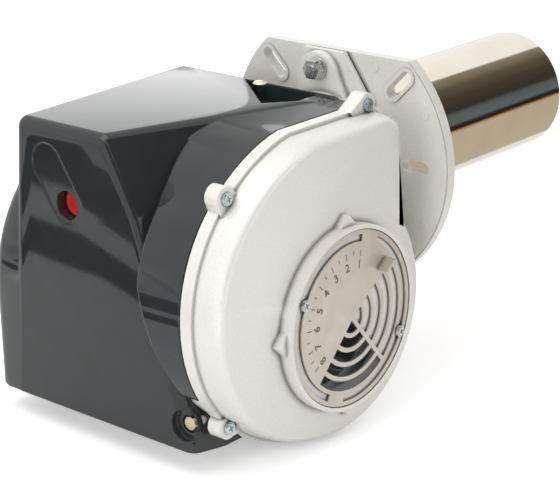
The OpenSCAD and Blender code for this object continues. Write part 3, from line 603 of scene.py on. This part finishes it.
softbox("top_soft", (-0.2, -0.5, 1.3), (0, 0, 0), 1.2, 1.2, 7)
softbox("front_fill", (0.2, -1.9, 0.6), FLANGE, 1.0, 1.0, 10, mirrored=False)
softbox("right_fill", (1.5, 0.1, 0.6), BURNER, 0.9, 0.9, 2.5, mirrored=False)
softbox("low_back", (-0.91, 0.56, 0.45), HOOD_TOP, 0.45, 0.55, 0.95)
print("soft boxes:", len(bpy.data.lights))

# %% [markdown]
# ## Boards for the reflections
#
# Polished things are drawn by what they mirror, and studios stand boards round them
# for that. Dark ones give the hood its stripes and its dark right side, a beige one
# on the floor warms the tube's underside, and a bright one lights the hood's edges.
# Only reflections see them, so they throw no shadow.

# %% Boards for the reflections
def glowing(name, stops, strength=1.0, low_z=0.0, high_z=1.0):
    material = bpy.data.materials.new(name)
    material.use_nodes = True
    tree = material.node_tree
    tree.nodes.clear()
    place = add(tree, "TexCoord")
    parts = add(tree, "SeparateXYZ", Vector=place.outputs["Object"])
    height = add(tree, "MapRange", {"From Min": low_z, "From Max": high_z}, Value=parts.outputs["Z"])
    tint = add(tree, "ValToRGB", stops=stops, Fac=height.outputs["Result"])
    glow = add(tree, "Emission", {"Strength": strength}, Color=tint.outputs["Color"])
    add(tree, "OutputMaterial", Surface=glow.outputs["Emission"])
    return material


def board(name, mesh, material):
    obj = staged(name, mesh, material)
    obj.visible_camera = False
    obj.visible_diffuse = False
    obj.visible_shadow = False
    obj.visible_transmission = False
    return obj


LAID_Z = FLOOR_Z + 1 * MM
DARK = glowing("dark_board", [(0.0, "#0C0D0E"), (1.0, "#0C0D0E")])
BEIGE = glowing("beige_board", [(0.0, "#BFB3A2"), (1.0, "#CFC4B4")])
BRIGHT = glowing("bright_board", [(0.0, "#FFFFFF"), (1.0, "#FFFFFF")], strength=6.0)
LAID = [    # name, width, depth, x, y, finish
    ("far_flag", 0.7, 0.45, -0.5, -0.805, DARK),
    ("strip_flag", 0.7, 0.07, -0.5, -0.475, DARK),
    ("warm_card", 0.9, 1.1, 0.45, 0.75, BEIGE),
    ("bright_card", 0.16, 0.12, 0.22, -0.62, BRIGHT),
]
STANDING = [("booth_flag", (1.15, -1.55, 0.62)), ("high_flag", (0.95, -0.35, 0.85))]
for name, width, depth, x, y, material in LAID:
    board(name, card_mesh(name, width, depth, (x, y, LAID_Z)), material)
for name, place in STANDING:
    aim(board(name, card_mesh(name, 1.0, 1.0), DARK), place, BURNER)
print("boards:", len(LAID + STANDING))

# %% [markdown]
# ## The tube's board
#
# The blast tube shows a dark band between cream and beige, with a slate streak and
# an amber line in it. A board bent round the tube's axis gives it: two points make
# an edge along the axis, and the spin operator sweeps it up the right-hand side.
# Its colours are set out by height.

# %% The tube's board
TUBE_BOARD_R, TUBE_BOARD_Y = 0.5, (0.25, 1.2)
BOARD_FROM, BOARD_SWEEP, BOARD_STEPS = math.radians(17), math.radians(104), 40
TUBE_SEES = [
    (0.0, "#C89A66"), (0.045, "#A06E3A"),                        # amber
    (0.055, "#15181A"), (0.15, "#202425"),                       # black
    (0.2, "#616D70"), (0.42, "#566064"),                         # slate
    (0.5, "#35332C"), (0.75, "#453F35"), (0.92, "#5E574A"), (1.0, "#8A8272"),    # brown
]
bm = bmesh.new()
bm.edges.new([bm.verts.new((TUBE_BOARD_R, y, 0)) for y in TUBE_BOARD_Y])
bmesh.ops.rotate(bm, cent=(0, 0, 0), matrix=Matrix.Rotation(BOARD_FROM, 3, "Y"), verts=bm.verts)
bmesh.ops.spin(bm, geom=bm.verts[:] + bm.edges[:], cent=(0, 0, 0), axis=(0, -1, 0),
               angle=BOARD_SWEEP, steps=BOARD_STEPS, use_merge=False, use_duplicate=False)
dusk = glowing("tube_board", TUBE_SEES, low_z=-0.15, high_z=0.5)
bent = board("tube_flag", to_mesh(bm, "tube_flag"), dusk)
print("tube board:", len(bent.data.polygons), "faces")

# %% [markdown]
# ## Camera
#
# The camera stands at the viewing angle of a product photo, with a long lens so
# that the perspective stays gentle. Its axes are worked out from its azimuth,
# elevation and roll.

# %% Camera
AZIMUTH, ELEVATION, ROLL = (math.radians(v) for v in (41.44, 19.40, -1.18))
CAMERA_AT = (0.82367, -1.00456, 0.37892)
SENSOR_MM, FOCAL_MM = 36, 121.4
back_axis = Vector((math.sin(AZIMUTH) * math.cos(ELEVATION),
                    -math.cos(AZIMUTH) * math.cos(ELEVATION), math.sin(ELEVATION)))
level_axis = Vector((math.cos(AZIMUTH), math.sin(AZIMUTH), 0))
up_axis = back_axis.cross(level_axis)
right_axis = math.cos(ROLL) * level_axis + math.sin(ROLL) * up_axis
tilted_up = -math.sin(ROLL) * level_axis + math.cos(ROLL) * up_axis
lens = bpy.data.cameras.new("camera")
lens.sensor_width, lens.lens = SENSOR_MM, FOCAL_MM
camera = bpy.data.objects.new("camera", lens)
scene.collection.objects.link(camera)
turned = Matrix((right_axis, tilted_up, back_axis)).transposed().to_4x4()
camera.matrix_world = Matrix.Translation(CAMERA_AT) @ turned
scene.camera = camera
scene.view_settings.view_transform = "Standard"
print("camera stands", round(Vector(CAMERA_AT).length, 2), "m away")
